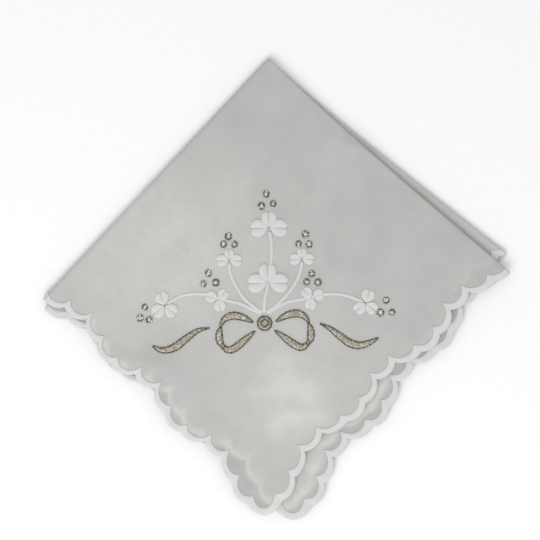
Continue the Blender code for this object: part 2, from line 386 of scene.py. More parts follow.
def flat_place(x, y, layer):
    """The flat place of a layer's point under (x, y), by Newton's rule from the layer's middle."""
    repeats = 6
    side_u, side_v, left, right, bottom = layer
    across = left - TOP_CORNER
    down = right - TOP_CORNER
    twist = TOP_CORNER - left - right + bottom
    target = np.stack([x, y], axis=-1) - TOP_CORNER
    a = np.full_like(x, 0.5)
    b = np.full_like(x, 0.5)
    for _ in range(repeats):
        miss = target - (a[..., None] * across + b[..., None] * down + (a * b)[..., None] * twist)
        by_a = across + b[..., None] * twist
        by_b = down + a[..., None] * twist
        det = by_a[..., 0] * by_b[..., 1] - by_a[..., 1] * by_b[..., 0]
        a = a + (miss[..., 0] * by_b[..., 1] - miss[..., 1] * by_b[..., 0]) / det
        b = b + (by_a[..., 0] * miss[..., 1] - by_a[..., 1] * miss[..., 0]) / det
    u = a * (SHEET_U[1] if side_u > 0 else SHEET_U[0])
    v = b * (SHEET_V[1] if side_v > 0 else SHEET_V[0])
    return u, v


def inside_edge(u, v, share):
    """How far a flat point lies inside a line of the edge, the least of the distances to its sides."""
    lookups = edge_lookup(share)
    right = np.interp(v, *lookups["right"]) - u
    left = u - np.interp(v, *lookups["left"])
    top = np.interp(u, *lookups["top"]) - v
    bottom = v - np.interp(u, *lookups["bottom"])
    return np.minimum(np.minimum(right, left), np.minimum(top, bottom))


def soft_step(distance):
    """0 before a line and 1 past it, with a smooth rise between."""
    t = np.clip(distance / SOFT_STEP + 0.5, 0, 1)
    return t * t * (3 - 2 * t)


def backing_and_painted_light(x, y, number):
    """What lies under layer number at (x, y): 0 for nothing, 1 for cloth, and more for stitching.

    Layers below the top one count for more: more of the white board shows through them, and this
    paler colour is also painted light, which lifts the shade that the layers above cast on them. On
    the top layer the broad pale patches are painted light too.
    """
    total = np.full_like(x, LOWER_LAYER_PAINTED_LIGHT if number > 0 else 0.0)
    below = LAYERS[number + 1:]
    for i, layer in enumerate(below):
        u, v = flat_place(x, y, layer)
        cloth = soft_step(inside_edge(u, v, 0.0))
        stitched = cloth * (1 - soft_step(inside_edge(u, v, 1.0)))
        total += BACKING_SHARES[i] * cloth + EDGE_BELOW_GAIN[i] * BACKING_SHARES[i] * stitched
    total += sum(BACKING_SHARES[len(below):])
    if number == 0:
        for mid_x, mid_y, half_width, half_height, strength in PALE_PATCHES:
            off = ((x / MM - mid_x) / half_width) ** 2 + ((y / MM - mid_y) / half_height) ** 2
            total += PATCH_GAIN * strength * np.exp(-(off**PATCH_POWER))
    return total


def linear(code, alpha=1.0):
    """A colour from its sRGB hex code, turned to the linear values that Blender works with."""
    srgb = [int(code[i:i + 2], 16) / 255 for i in (1, 3, 5)]
    return [c / 12.92 if c <= 0.04045 else ((c + 0.055) / 1.055) ** 2.4 for c in srgb] + [alpha]


def add(tree, kind, inputs=None, **settings):
    """Adds a node. inputs pairs a socket's name or number with its value or the output that feeds it.

    On a Mix, 0 is the share and 6 and 7 the two colours. On a MapRange, 1 and 2 are the ends of the
    range that comes in, and 3 and 4 of the one that goes out.
    """
    made = tree.nodes.new("ShaderNode" + kind)
    for name, value in settings.items():
        setattr(made, name, value)
    for socket, value in (inputs or {}).items():
        if isinstance(value, bpy.types.NodeSocket):
            tree.links.new(value, made.inputs[socket])
        else:
            made.inputs[socket].default_value = value
    return made.outputs


def surface(name, finish):
    """A new material, its node tree and its shader. The finish gives the shader's plain sockets."""
    material = bpy.data.materials.new(name)
    material.use_nodes = True
    shader = material.node_tree.nodes["Principled BSDF"]
    for socket, value in finish.items():
        shader.inputs[socket].default_value = value
    return material, material.node_tree, shader


def cotton_lawn():
    """Cotton lawn: bleached, matt with a soft bloom, woven of threads about 0.25 mm apart.

    The weave is drawn at 0.9 mm, because the real one is finer than the render can show. Where
    stitching below shows through, it is paler and a little uneven. The same pale colour is painted
    light on the lower layers and in the broad patches of the top one. The scale of a noise is given
    in cells a millimetre: flecks of a millimetre, unevenness of 3 mm, soft mottling of 16 mm, and
    rubbed patches of 6 mm in the bump.
    """
    weave_pitch = 0.9 * MM
    bloom = {"Roughness": 0.88, "Specular IOR Level": 0.2, "Sheen Weight": 0.12, "Sheen Roughness": 0.5}
    material, tree, shader = surface("cotton_lawn", bloom)
    flat = add(tree, "UVMap", uv_map="flat")["UV"]
    place = add(tree, "TexCoord")["Object"]
    split = add(tree, "SeparateXYZ", {0: flat})
    threads = []
    for axis in ("X", "Y"):
        turn = add(tree, "Math", {0: split[axis], 1: 2 * math.pi / weave_pitch}, operation="MULTIPLY")[0]
        threads.append(add(tree, "Math", {0: turn}, operation="SINE")[0])
    weave = add(tree, "Math", {0: threads[0], 1: threads[1]}, operation="MULTIPLY")[0]
    slub = add(tree, "TexNoise", {"Vector": flat, "Scale": 0.9 / MM, "Detail": 2.0})["Fac"]
    soft_cells = {"Vector": place, "Scale": 0.06 / MM, "Detail": 4.0, "Roughness": 0.6}
    mottle = add(tree, "TexNoise", soft_cells)["Fac"]
    below = add(tree, "Attribute", attribute_name="backing_and_painted_light")["Fac"]
    sheer = add(tree, "MapRange", {0: below, 1: 0.0, 2: 1.0, 3: 0.0, 4: 1.0}, clamp=True)[0]
    # The pale colour is stitching below that shows through, and also painted light: on the lower layers,
    # and in the broad patches of the top one.
    pale = add(tree, "MapRange", {0: below, 1: 1.0, 2: 1.6, 3: 0.0, 4: 1.0}, clamp=True)[0]
    stitch_cells = {"Vector": flat, "Scale": 0.38 / MM, "Detail": 2.0, "Distortion": 1.0}
    uneven = add(tree, "TexNoise", stitch_cells)["Fac"]
    stitches = add(tree, "MapRange", {0: uneven, 1: 0.35, 2: 0.65, 3: 0.86, 4: 1.14})[0]
    pale = add(tree, "Math", {0: pale, 1: stitches}, operation="MULTIPLY")[0]
    cloth = add(tree, "Mix", {0: sheer, 6: linear("#adadab"), 7: linear("#b5b5b3")}, data_type="RGBA")[2]
    cloth = add(tree, "Mix", {0: pale, 6: cloth, 7: linear("#d1d1ce")}, data_type="RGBA")[2]
    tone = add(tree, "MapRange", {0: mottle, 1: 0.3, 2: 0.7, 3: 0.95, 4: 1.05})[0]
    grain = add(tree, "MapRange", {0: weave, 1: -1.0, 2: 1.0, 3: 0.985, 4: 1.015})[0]
    fleck = add(tree, "MapRange", {0: slub, 1: 0.3, 2: 0.7, 3: 0.985, 4: 1.015})[0]
    tone = add(tree, "Math", {0: tone, 1: grain}, operation="MULTIPLY")[0]
    tone = add(tree, "Math", {0: tone, 1: fleck}, operation="MULTIPLY")[0]
    colour = add(tree, "VectorMath", {0: cloth, "Scale": tone}, operation="SCALE")[0]
    rubbed_cells = {"Vector": place, "Scale": 0.16 / MM, "Detail": 5.0, "Roughness": 0.65}
    rubbed = add(tree, "TexNoise", rubbed_cells)["Fac"]
    woven = add(tree, "Bump", {"Height": weave, "Distance": 0.03 * MM, "Strength": 0.5})["Normal"]
    relief_of_rubbing = {"Height": rubbed, "Distance": 0.5 * MM, "Strength": 0.5, "Normal": woven}
    bump = add(tree, "Bump", relief_of_rubbing)["Normal"]
    tree.links.new(colour, shader.inputs["Base Color"])
    tree.links.new(bump, shader.inputs["Normal"])
    return material


def grid_faces(rows, columns, wrap_rows=False, wrap_columns=False):
    """The quads of a grid of points, as corner numbers, and the same for UV places, which never wrap."""
    quad_rows = np.arange(rows - (not wrap_rows))
    quad_columns = np.arange(columns - (not wrap_columns))
    i, j = np.meshgrid(quad_rows, quad_columns, indexing="ij")
    corner_i = np.stack([i, i + 1, i + 1, i], axis=-1).reshape(-1, 4)
    corner_j = np.stack([j, j, j + 1, j + 1], axis=-1).reshape(-1, 4)
    points = (corner_i % rows) * columns + corner_j % columns
    return points, corner_i * (columns + wrap_columns) + corner_j


def piece(name, points, faces, uv, uv_faces, material):
    """Makes one object from arrays of points, quads, UV places and the quads' UV corners."""
    mesh = bpy.data.meshes.new(name)
    mesh.vertices.add(len(points))
    mesh.vertices.foreach_set("co", (points + SETTLE).ravel())
    mesh.loops.add(faces.size)
    mesh.loops.foreach_set("vertex_index", faces.ravel())
    mesh.polygons.add(len(faces))
    mesh.polygons.foreach_set("loop_start", np.arange(0, faces.size, 4))
    mesh.uv_layers.new(name="flat").uv.foreach_set("vector", uv[uv_faces.ravel()].ravel())
    mesh.update(calc_edges=True)
    mesh.materials.append(material)
    made = bpy.data.objects.new(name, mesh)
    bpy.context.scene.collection.objects.link(made)
    return made


def finished(made):
    """Merges a piece's points that meet, as at tips, turns its faces outwards and smooths it.

    Every piece lies on the one body.
    """
    merge_distance = 0.002 * MM
    shape = bmesh.new()
    shape.from_mesh(made.data)
    bmesh.ops.remove_doubles(shape, verts=shape.verts, dist=merge_distance)
    bmesh.ops.recalc_face_normals(shape, faces=shape.faces)
    shape.to_mesh(made.data)
    shape.free()
    made.data.shade_smooth()
    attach(made, "root")
    return made


def lawn_sheet():
    """The sheet as a closed slab: a grid on its upper and its lower face, joined round the rim.

    The rim is hidden in the stitching. The grid's rows run along u, its columns along v.
    """
    lines_u = grid_lines(*SHEET_U, FIRST_FOLD_RADIUS)
    lines_v = grid_lines(*SHEET_V, SECOND_FOLD_RADIUS)
    u, v = np.meshgrid(lines_u, lines_v, indexing="ij")
    rows, columns = u.shape
    u, v = drawn_to_edge(u, v)
    half = CLOTH_THICKNESS / 2
    faces_up = [folded(u, v, np.full_like(u, n)) for n in (half, -half)]
    points = np.concatenate([face.reshape(-1, 3) for face in faces_up])
    quads, _ = grid_faces(rows, columns)
    under = rows * columns
    upper = np.arange(under).reshape(rows, columns)
    rim = np.concatenate([upper[:-1, 0], upper[-1, :-1], upper[:0:-1, -1], upper[0, :0:-1]])
    after = np.roll(rim, -1)
    wall = np.stack([rim, rim + under, after + under, after], axis=-1)
    quads = np.concatenate([quads, quads[:, ::-1] + under, wall])
    uv = np.tile(np.stack([u, v], axis=-1).reshape(-1, 2), (2, 1))
    made = piece("lawn_sheet", points, quads, uv, quads, cotton_lawn())
    # The lowest layer has only the board under it, and counts as fully backed, with the painted light of
    # the lower layers.
    shown = np.full(u.shape, 1 + LOWER_LAYER_PAINTED_LIGHT)
    for number, (side_u, side_v, *_) in enumerate(LAYERS[:3]):
        here = (u * side_u > 0) & (v * side_v > 0)
        place = faces_up[0][here]
        shown[here] = backing_and_painted_light(place[:, 0], place[:, 1], number)
    attribute = made.data.attributes.new("backing_and_painted_light", "FLOAT", "POINT")
    attribute.data.foreach_set("value", np.tile(shown.ravel(), 2))
    return made


sheet = finished(lawn_sheet())
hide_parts("handkerchief")


# The stitched edge
# White satin stitch over a padding thread, worked close along the whole outline, wider where it fills
# the cusps between lobes. It is about 0.9 mm thick, with the cloth in the middle of it.
EDGE_HALF_THICKNESS = 0.45 * MM
EDGE_ROUND_STEPS = 14
EDGE_FULLNESS = 0.75
# The painted shadow along the inner side of the stitched edge, where its stitches go down into the cloth.
INNER_EDGE_SHADOW_CODE = "#989895"


def satin_thread(name, code, shade_code, stitch_pitch, ridge_strength, side_width=None):
    """Mercerised cotton in satin stitch: even, close threads with a low silky sheen.

    The stitches are drawn at stitch_pitch, coarser than the real 0.3 mm, so that they show. Each
    thread is a round ridge, and its crown is painted paler and its sides darker, as highlight and
    shade. Where side_width is given, a band has a painted shadow along its inner side, where its
    stitches go down into the cloth.
    """
    silk = {"Roughness": 0.55, "Specular IOR Level": 0.35, "Sheen Weight": 0.2, "Sheen Roughness": 0.35}
    material, tree, shader = surface(name, silk)
    flat = add(tree, "UVMap", uv_map="flat")["UV"]
    split = add(tree, "SeparateXYZ", {0: flat})
    wander = add(tree, "TexNoise", {"Vector": flat, "Scale": 0.26 / MM, "Detail": 2.0})["Fac"]
    bend = add(tree, "Math", {0: wander, 1: 2.5}, operation="MULTIPLY")[0]
    per_stitch = 2 * math.pi / stitch_pitch
    turn = add(tree, "Math", {0: split["X"], 1: per_stitch, 2: bend}, operation="MULTIPLY_ADD")[0]
    ridge = add(tree, "Math", {0: turn}, operation="SINE")[0]
    # The crown of each stitch is painted paler than its sides, as painted highlight and shade.
    crown = add(tree, "MapRange", {0: ridge, 1: -1.0, 2: 0.4, 3: 0.0, 4: 1.0}, clamp=True)[0]
    uneven = add(tree, "TexNoise", {"Vector": flat, "Scale": 0.7 / MM, "Detail": 3.0})["Fac"]
    uneven_highlight = add(tree, "Math", {0: crown, 1: uneven}, operation="MULTIPLY")[0]
    lit = add(tree, "MapRange", {0: uneven_highlight, 1: 0.0, 2: 0.45, 3: 0.0, 4: 1.0}, clamp=True)[0]
    # A painted shadow along the inner side of a band, where its stitches go down into the cloth.
    if side_width:
        round_band = add(tree, "Math", {0: split["Y"], 1: math.pi / side_width}, operation="MULTIPLY")[0]
        outwards = add(tree, "Math", {0: round_band}, operation="COSINE")[0]
        side = add(tree, "MapRange", {0: outwards, 1: -1.0, 2: -0.65, 3: 0.0, 4: 1.0}, clamp=True)[0]
    colour = add(tree, "Mix", {0: lit, 6: linear(shade_code), 7: linear(code)}, data_type="RGBA")[2]
    if side_width:
        colour = add(tree, "Mix", {0: side, 6: linear(INNER_EDGE_SHADOW_CODE), 7: colour}, data_type="RGBA")[2]
    bump = add(tree, "Bump", {"Height": ridge, "Distance": 0.08 * MM, "Strength": ridge_strength})["Normal"]
    tree.links.new(colour, shader.inputs["Base Color"])
    tree.links.new(bump, shader.inputs["Normal"])
    return material


def stitched_edge():
    """The edge as a closed band: a flattened round profile carried along the outline.

    Across the band a point lies w / 2 * (1 - cos angle) in from the outline, and at a height of the
    half thickness times the sine of the angle, drawn to a power under 1 for a full profile.
    """
    angle = np.linspace(0, 2 * np.pi, EDGE_ROUND_STEPS, endpoint=False)
    across = stitched_width()[:, None] * (1 - np.cos(angle)) / 2
    lift = EDGE_HALF_THICKNESS * np.sign(np.sin(angle)) * np.abs(np.sin(angle)) ** EDGE_FULLNESS
    flat = edge_points[:, None, :] - edge_out[:, None, :] * across[..., None]
    points = folded(flat[..., 0], flat[..., 1], np.broadcast_to(lift, across.shape))
    quads, uv_quads = grid_faces(*across.shape, wrap_rows=True, wrap_columns=True)
    step = np.linalg.norm(np.roll(edge_points, -1, axis=0) - edge_points, axis=1)
    run = np.concatenate([[0], np.cumsum(step)])
    girth = np.linspace(0, 2 * STITCHED_WIDTHS[0], EDGE_ROUND_STEPS + 1)
    uv = np.stack(np.meshgrid(run, girth, indexing="ij"), axis=-1).reshape(-1, 2)
    thread = satin_thread("white_satin_stitch", "#d8d8d6", "#bababa", 0.85 * MM, 0.3, STITCHED_WIDTHS[0])
    return piece("stitched_edge", points.reshape(-1, 3), quads, uv, uv_quads, thread)


edge = finished(stitched_edge())


# The stems of the spray
# Raised lines of white satin stitch over padding, about 1.5 mm wide, which gather above the knot of
# the bow and run up to the clovers. All places in the spray are in millimetres from the knot.
KNOT = np.array((-5.9, -15.0)) * MM
SPRAY_TURN = 0.7
STEM_WIDTH = 1.55 * MM
STEM_HEIGHT = 0.55 * MM
STEM_STEP = 0.6 * MM
SWELLING_AT_KNOT = 0.3
SWELLING_REACH = 5.0 * MM
SUNK = 0.12 * MM
FALL_TOWARDS_ENDS = 0.7
# Each row is the middle line of one stem, from its clover to the knot.
STEM_LINES = (
    ((2.7, 40.5), (3.1, 37.5), (3.5, 33.0), (3.2, 27.0), (2.2, 21.0), (1.3, 15.5), (0.2, 10.0),
     (-0.2, 4.4)),
    ((16.7, 27.2), (15.7, 21.5), (12.8, 16.0), (8.6, 10.9), (4.2, 7.0), (0.5, 4.6)),
    ((-15.4, 27.2), (-14.5, 21.5), (-12.1, 16.0), (-8.7, 10.9), (-4.2, 7.0), (-0.5, 4.6)),
    ((43.6, 8.6), (37.2, 11.4), (31.4, 12.5), (25.6, 12.3), (20.6, 11.0), (15.7, 10.2), (10.6, 9.3),
     (6.0, 7.1), (1.0, 4.2)),
    ((-43.0, 8.8), (-37.0, 12.2), (-31.4, 13.2), (-25.6, 13.0), (-20.6, 11.3), (-15.7, 10.0), (-10.6, 8.8),
     (-6.0, 6.5), (-1.0, 4.2)),
)


def cloth_top(x, y):
    """Height of the upper face of the top layer at a place."""
    return TOP_LAYER - UPPER_PAIR_DROP + CLOTH_THICKNESS / 2 + relief(x, y)


def in_spray(points, turn_degrees):
    """Millimetres from the knot turned to places on the cloth, with the motif's small turn."""
    c, s = math.cos(math.radians(turn_degrees)), math.sin(math.radians(turn_degrees))
    points = np.asarray(points, float)
    x = points[..., 0] * c - points[..., 1] * s
    y = points[..., 0] * s + points[..., 1] * c
    return np.stack([x, y], axis=-1) * MM + KNOT


def smooth_line(points, spacing):
    """A smooth line through points, at even spacing, with the distance run along it.

    Between two points it is the cubic whose slope at each is half the step past its neighbours.
    """
    steps_between, fewest_steps = 16, 8
    points = np.vstack([2 * points[0] - points[1], points, 2 * points[-1] - points[-2]])
    t = np.linspace(0, 1, steps_between, endpoint=False)[:, None]
    spans = [
        0.5 * (2 * q + (r - p) * t + (2 * p - 5 * q + 4 * r - s) * t**2 + (3 * q - p - 3 * r + s) * t**3)
        for p, q, r, s in zip(points[:-3], points[1:-2], points[2:-1], points[3:])
    ]
    line = np.vstack(spans + [points[-2:-1]])
    run = np.concatenate([[0], np.cumsum(np.linalg.norm(np.diff(line, axis=0), axis=1))])
    even = np.linspace(0, run[-1], max(int(run[-1] / spacing), fewest_steps) + 1)
    return np.column_stack([np.interp(even, run, line[:, axis]) for axis in (0, 1)]), even


def blunt(run, radius):
    """A share of full width along a line: round ends of that radius, and full between them."""
    from_end = np.minimum(run, run[-1] - run)
    return np.sqrt(np.clip(1 - (1 - np.clip(from_end / radius, 0, 1)) ** 2, 0, 1))


def normals_of(line):
    """Unit directions across a line, to its left."""
    along = np.gradient(line, axis=0)
    along /= np.linalg.norm(along, axis=1)[:, None]
    return along[:, ::-1] * (-1, 1)


def stitched_strip(line, run, half_width, height, round_steps=12):
    """A padded strip on the cloth: half an ellipse above it and a thin flat side sunk into it.

    At an angle round the profile the point lies half_width * cos across and height * sin up. The
    height falls with the width towards the ends, drawn to a power under 1 so that it falls late.
    """
    angle = np.linspace(0, 2 * np.pi, round_steps, endpoint=False)
    across = half_width[:, None] * np.cos(angle)
    rise = np.where(np.sin(angle) > 0, height, SUNK) * np.sin(angle)
    rise = rise * (half_width / half_width.max())[:, None] ** FALL_TOWARDS_ENDS
    flat = line[:, None, :] + normals_of(line)[:, None, :] * across[..., None]
    up = cloth_top(flat[..., 0], flat[..., 1]) + rise
    points = np.concatenate([flat, up[..., None]], axis=-1)
    girth = np.linspace(0, 1, round_steps + 1) * 2 * half_width.max()
    uv = np.stack(np.meshgrid(run, girth, indexing="ij"), axis=-1)
    return points, uv


def joined(name, shapes, material):
    """One object from several grids, each closed round its profile. A shape is its points and UVs."""
    points, faces, uvs, uv_faces = [], [], [], []
    count = uv_count = 0
    for grid, uv in shapes:
        quads, uv_quads = grid_faces(grid.shape[0], grid.shape[1], wrap_columns=True)
        faces.append(quads + count)
        uv_faces.append(uv_quads + uv_count)
        points.append(grid.reshape(-1, 3))
        uvs.append(uv.reshape(-1, 2))
        count += len(points[-1])
        uv_count += len(uvs[-1])
    arrays = [np.concatenate(rows) for rows in (points, faces, uvs, uv_faces)]
    return finished(piece(name, *arrays, material))


def stem(points):
    """One stem, of even width with round ends, a little thicker where it leaves the knot."""
    line, run = smooth_line(in_spray(points, SPRAY_TURN), STEM_STEP)
    swelling = 1 + SWELLING_AT_KNOT * np.exp(-(run[-1] - run) / SWELLING_REACH)
    half_width = STEM_WIDTH / 2 * swelling * blunt(run, STEM_WIDTH / 2)
    return stitched_strip(line, run, half_width, STEM_HEIGHT)


stems = [stem(points) for points in STEM_LINES]
stem_thread = satin_thread("white_stem_stitch", "#d1d1cf", "#c4c4c2", 0.8 * MM, 0.12)
joined("clover_stems", stems, stem_thread)


# The clover leaves
# Each clover is three heart-shaped leaflets of padded white satin stitch. A leaflet is worked in two
# halves, whose stitches run out from a midrib where they dip to the cloth.
# Columns: x, y, length of the first leaflet, length of the others, directions of the three in degrees.
CLOVERS = (
    (2.4, 42.0, 7.7, 8.7, (90, 183, -3)),
    (1.7, 17.8, 9.1, 9.6, (91, 182, -2)),
    (16.7, 28.3, 4.9, 5.7, (90, 186, -6)),
    (-15.2, 28.1, 5.0, 6.0, (90, -6, 186)),
    (20.9, 11.3, 5.6, 5.9, (137, 17, -102)),
    (-20.2, 11.0, 5.6, 6.0, (43, 163, 282)),
    (44.5, 8.3, 6.8, 6.4, (72, -38, 218)),
    (-43.8, 8.3, 6.8, 6.9, (108, 218, -38)),
)
LEAF_HALF_SPREAD = 60.0
LEAF_ROUNDNESS = 0.42
LEAF_NOTCH = 0.15
LEAF_NOTCH_WIDTH = 9.0
LEAF_OVERLAP = 0.03
LEAF_HEIGHT = 0.11
LEAF_STEPS = 12
STITCH_SLANT = 0.35


def half_leaflet(centre, length, direction, side):
    """One half of a leaflet, as a closed pad round its own profile.

    At an angle t from the midrib its rim lies at length * cos(90 t / spread), drawn to the power
    of its roundness, from the base, less a notch near the midrib. It rises like a cushion: with s
    from -1 to 1, the root of 1 - |s|**3 across it, times the root of 1 - |s|**5 from base to rim.
    It laps a little over the midrib, so that the dip there stays narrow.
    """
    t = np.linspace(0, LEAF_HALF_SPREAD, LEAF_STEPS + 1)[:, None]
    rim = length * np.cos(np.radians(90 * t / LEAF_HALF_SPREAD)) ** LEAF_ROUNDNESS
    rim *= 1 - LEAF_NOTCH * np.exp(-((t / LEAF_NOTCH_WIDTH) ** 2))
    out = np.sin(np.linspace(0, np.pi / 2, LEAF_STEPS + 1))
    reach = np.concatenate([out, out[-2:0:-1]])
    upper = np.concatenate([np.ones(LEAF_STEPS + 1), np.zeros(LEAF_STEPS - 1)])
    full_across = (1 - np.abs(2 * t / LEAF_HALF_SPREAD - 1) ** 3) ** 0.5
    full_along = (1 - np.abs(2 * reach - 1) ** 5) ** 0.5
    rise = np.where(upper > 0, LEAF_HEIGHT * length, -SUNK) * (full_across * full_along)
    along = rim * reach * np.cos(np.radians(t))
    across = rim * reach * np.sin(np.radians(t)) - LEAF_OVERLAP * length
    heading = math.radians(direction)
    flat = np.stack([along * math.cos(heading) - side * across * math.sin(heading),
                     along * math.sin(heading) + side * across * math.cos(heading)], axis=-1)
    flat = in_spray(np.asarray(centre) + flat / MM, SPRAY_TURN)
    up = cloth_top(flat[..., 0], flat[..., 1]) + rise
    points = np.concatenate([flat, up[..., None]], axis=-1)
    uv = np.stack([along + STITCH_SLANT * across, across], axis=-1)
    return points, np.concatenate([uv, uv[:, :1]], axis=1)


def clover(x, y, first_length, other_length, directions):
    """The six half leaflets of one clover."""
    halves = []
    for direction in directions:
        length = first_length if direction == directions[0] else other_length
        for half in (-1, 1):
            halves.append(half_leaflet((x, y), length * MM, direction, half))
    return halves


leaves = []
for clover_row in CLOVERS:
    leaves += clover(*clover_row)
leaf_thread = satin_thread("white_leaf_stitch", "#d4d4d2", "#c2c2c0", 0.75 * MM, 0.25)
joined("clover_leaves", leaves, leaf_thread)


# The dots
# Small rings of gold-coloured metallic thread wound round a bright middle and sewn down, in threes
# beside all but one of the clovers.
# Columns: the upper dot of each group, its lower left dot, its lower right dot.
DOT_GROUPS = (
    ((1.9, 56.6), (-0.2, 51.4), (4.9, 52.3)),
    ((-15.0, 38.4), (-17.2, 35.0), (-12.5, 34.9)),
    ((18.8, 38.6), (15.7, 34.5), (20.3, 34.1)),
    ((-24.1, 22.5), (-26.5, 17.9), (-21.0, 18.3)),
    ((21.1, 21.2), (18.9, 17.7), (23.8, 17.4)),
    ((-52.4, 8.2), (-54.6, 3.5), (-50.6, 2.7)),
    ((53.5, 8.8), (50.9, 3.5), (56.0, 3.5)),
)
DOT_RADIUS = 1.58 * MM
# The profile of a dot from its middle out: share of the radius, and height in millimetres.
DOT_PROFILE = ((0.0, 0.55), (0.16, 0.52), (0.3, 0.36), (0.4, 0.26), (0.5, 0.36), (0.62, 0.62), (0.76, 0.66),
               (0.9, 0.45), (1.0, 0.0), (0.8, -0.12), (0.4, -0.12), (0.0, -0.12))
DOT_STEPS = 28
DOT_TURN = SPRAY_TURN + 0.6
DOT_TALLNESS = 1.06
DOT_SIZE_CHANGE = 0.08
# The coiled thread bumps the rim out and in, and its top up and down: bumps round it, share of size.
RIM_BUMPS = (7, 0.07)
TOP_BUMPS = (5, 0.12)
RIM_FROM = 0.45


def dot(centre, number):
    """One dot: its profile turned about its middle, with a bumpy rim of coiled thread.

    Each dot's number shifts the sine waves of its size and its bumps, so that no two are the same.
    """
    share, height = np.array(DOT_PROFILE).T
    angle = np.linspace(0, 2 * np.pi, DOT_STEPS, endpoint=False)[None, :]
    size = DOT_RADIUS * (1 + DOT_SIZE_CHANGE * math.sin(2.4 * number))
    coil = 1 + RIM_BUMPS[1] * np.sin(RIM_BUMPS[0] * angle + number) * (share[:, None] > RIM_FROM)
    reach = size * share[:, None] * coil
    flat = np.stack([reach * np.cos(angle), reach * np.sin(angle) * DOT_TALLNESS], axis=-1)
    flat = flat + in_spray(centre, DOT_TURN)
    rise = height[:, None] * MM * (1 + TOP_BUMPS[1] * np.sin(TOP_BUMPS[0] * angle + 2 * number))
    up = cloth_top(flat[..., 0], flat[..., 1]) + rise
    turn = np.linspace(0, 2 * math.pi * DOT_RADIUS, DOT_STEPS + 1)
    uv = np.stack(np.meshgrid(share * DOT_RADIUS, turn, indexing="ij"), axis=-1)
    return np.concatenate([flat, up[..., None]], axis=-1), uv


def metallic_thread(name, bright_code, dark_code, speckle, metal, bright_share, ring=False):
    """Metallised film wound on a core: champagne where it faces the light and darker beside it.

    The winding is drawn as specks, at speckle cells of noise a millimetre, coarser than the real
    0.1 mm so that they show. On a dot the middle is brighter than the ring.
    """
    material, tree, shader = surface(name, {"Metallic": metal, "Roughness": 0.42})
    flat = add(tree, "UVMap", uv_map="flat")["UV"]
    place = add(tree, "TexCoord")["Object"]
    grain = {"Vector": place, "Scale": speckle / MM, "Detail": 2.0, "Roughness": 0.7}
    specks = add(tree, "TexNoise", grain)["Fac"]
    dark_below = 0.62 - 0.24 * bright_share
    bright_above = 0.74 - 0.24 * bright_share
    lit = add(tree, "MapRange", {0: specks, 1: dark_below, 2: bright_above, 3: 0.0, 4: 1.0}, clamp=True)[0]
    if ring:
        from_middle = add(tree, "SeparateXYZ", {0: flat})["X"]
        round_middle = {0: from_middle, 1: 0.26 * DOT_RADIUS, 2: 0.50 * DOT_RADIUS, 3: 1.0, 4: 0.0}
        bright_middle = add(tree, "MapRange", round_middle, clamp=True)[0]
        lit = add(tree, "Math", {0: lit, 1: bright_middle}, operation="MAXIMUM")[0]
    colour = add(tree, "Mix", {0: lit, 6: linear(dark_code), 7: linear(bright_code)}, data_type="RGBA")[2]
    bump = add(tree, "Bump", {"Height": specks, "Distance": 0.25 * MM, "Strength": 0.7})["Normal"]
    tree.links.new(colour, shader.inputs["Base Color"])
    tree.links.new(bump, shader.inputs["Normal"])
    return material


dots = []
for group in DOT_GROUPS:
    for centre in group:
        dots.append(dot(centre, len(dots)))
dot_thread = metallic_thread("gold_dot_thread", "#e4e2db", "#5f5c54", 1.0, 0.42, 0.42, ring=True)
joined("metallic_dots", dots, dot_thread)


# The ribbon bow
# A knot, two loops of three strips each, and two tails. Each strip is champagne satin stitch, padded,
# with dark metallic thread laid along both sides, and tapers to a point at both ends.
BOW_TURN = 2.2
# Columns: full width in millimetres, where the strip is widest, then its middle line from end to end.
PAIRED_STRIPS = (
    (2.9, 0.50, ((4.9, 0.5), (9.4, 2.9), (14.0, 3.8), (17.6, 2.3), (19.6, -0.9))),
    (2.8, 0.50, ((19.2, -0.6), (20.1, -4.0), (19.8, -7.6), (17.8, -10.4))),
    (2.9, 0.45, ((19.5, -8.0), (17.6, -10.5), (15.2, -11.1), (12.0, -9.4), (8.4, -6.5), (4.2, -3.2))),
)
TAILS = (
    (3.0, 0.58, ((-24.0, -1.2), (-28.4, -1.8), (-32.0, -3.6), (-35.4, -6.0), (-38.7, -8.4),
                 (-42.2, -9.9), (-46.0, -10.0), (-49.6, -8.0))),
    (3.0, 0.55, ((24.2, -1.0), (28.7, -3.5), (32.9, -7.0), (37.2, -10.2), (41.6, -11.3),
                 (46.0, -10.1), (49.8, -8.2))),
)
RIBBON_HEIGHT = 0.55 * MM
RIBBON_STEP = 0.35 * MM
TAPER_FULLNESS = 0.75
OUTLINE_RADIUS = 0.34 * MM
OUTLINE_HEIGHT = 0.68 * MM
BEAD_LENGTHS = (1.1 * MM, 1.73 * MM)
BEAD_SHARE = 0.25
KNOT_RADIUS = 3.1 * MM
# The profile of the knot from its middle out: share of the radius, and height in millimetres.
KNOT_PROFILE = ((0.0, 0.62), (0.3, 0.6), (0.6, 0.5), (0.85, 0.3), (1.0, 0.0), (0.6, -0.12), (0.0, -0.12))
KNOT_STEPS = 40
# Columns: radius of each ring of thread on the knot, and how high it lies.
KNOT_RINGS = ((3.1 * MM, 0.0), (1.55 * MM, 0.5 * MM))
RING_POINTS = 90


def mirrored(points):
    """The same points on the left side of the bow."""
    return [(-x, y) for x, y in points]


def taper(share, peak):
    """A share of full width along a strip: nothing at both ends, and full at its peak.

    It is half a sine wave, drawn to a power under 1, on a run that is warped to put its top there.
    """
    warped = share ** (math.log(0.5) / math.log(peak))
    return np.sin(np.pi * warped) ** TAPER_FULLNESS


